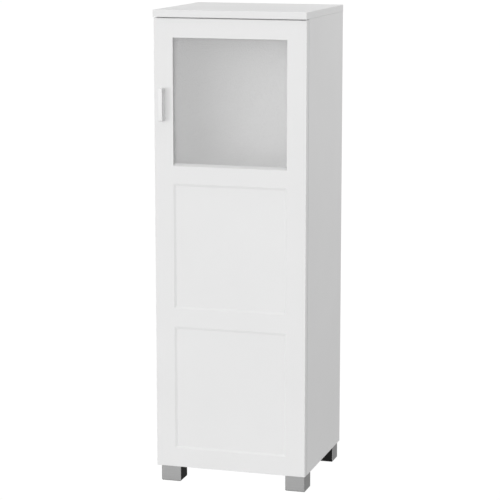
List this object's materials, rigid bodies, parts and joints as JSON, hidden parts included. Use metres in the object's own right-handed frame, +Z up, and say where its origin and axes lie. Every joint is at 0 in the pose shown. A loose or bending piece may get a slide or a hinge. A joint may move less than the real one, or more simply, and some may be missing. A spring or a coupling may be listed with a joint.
{
  "type": "bathroom cabinet",
  "caption": "Tall free-standing bathroom cabinet with a right-hung panelled door, frosted window, shelves inside, slim bow handle and bright block feet.",
  "frame": {"origin": "centre of the footprint on the floor, the handle included", "axes": "+Z up, front towards -Y, door hinges on the +X side"},
  "size_m": [0.401, 0.384, 1.232],
  "materials": {
    "board_white": "white satin foil on board",
    "door_white": "white satin lacquer",
    "back_board": "white painted hardboard",
    "dowel_wood": "plain beech",
    "frosted_glass": "frosted",
    "handle_satin": "satin white",
    "foot_plastic": "matt black",
    "foot_metal": "brushed along its length",
    "hardware_steel": "nickel plated",
    "soft_pad": "soft"
  },
  "bodies": {
    "carcass": {"back_panel": "back_board", "bottom_board": "board_white", "cam_bolts": "hardware_steel", "cam_locks": "hardware_steel", "foot_core_front_left": "foot_plastic", "foot_core_front_right": "foot_plastic", "foot_core_rear_left": "foot_plastic", "foot_core_rear_right": "foot_plastic", "foot_cover_front_left": "foot_metal", "foot_cover_front_right": "foot_metal", "foot_cover_rear_left": "foot_metal", "foot_cover_rear_right": "foot_metal", "foot_pads": "soft_pad", "foot_screws": "hardware_steel", "hinge_arm_pins": "hardware_steel", "hinge_arm_screws": "hardware_steel", "hinge_arms": "hardware_steel", "hinge_plate_screws": "hardware_steel", "hinge_plates": "hardware_steel", "shelf_fixed": "board_white", "shelf_loose": "board_white", "shelf_pins": "hardware_steel", "side_panel_left": "board_white", "side_panel_right": "board_white", "top_board": "board_white", "wall_rail": "board_white", "wood_dowels": "dowel_wood"},
    "hinge_links": {"hinge_links": "hardware_steel"},
    "door": {"door_bumpers": "soft_pad", "door_panel_lower": "door_white", "door_panel_middle": "door_white", "door_rail_bottom": "door_white", "door_rail_lower": "door_white", "door_rail_top": "door_white", "door_rail_upper": "door_white", "door_stile_left": "door_white", "door_stile_right": "door_white", "glass_pane": "frosted_glass", "glazing_beads": "door_white", "handle": "handle_satin", "handle_screws": "hardware_steel", "hinge_cup_pins": "hardware_steel", "hinge_cup_screws": "hardware_steel", "hinge_cups": "hardware_steel"}
  },
  "joints": [
    {"name": "link_swing", "type": "hinge", "parent": "carcass", "child": "hinge_links", "pos_m": [0.176, -0.1476, 0.63], "axis": [0, 0, 1], "range_deg": [-47.5, 0]},
    {"name": "door_swing", "type": "hinge", "parent": "hinge_links", "child": "door", "pos_m": [0.19, -0.1562, 0.63], "axis": [0, 0, 1], "range_deg": [0, 142.5]}
  ],
  "couplings": [
    {"joint": "link_swing", "follows": "door_swing", "ratio": -0.33333}
  ]
}
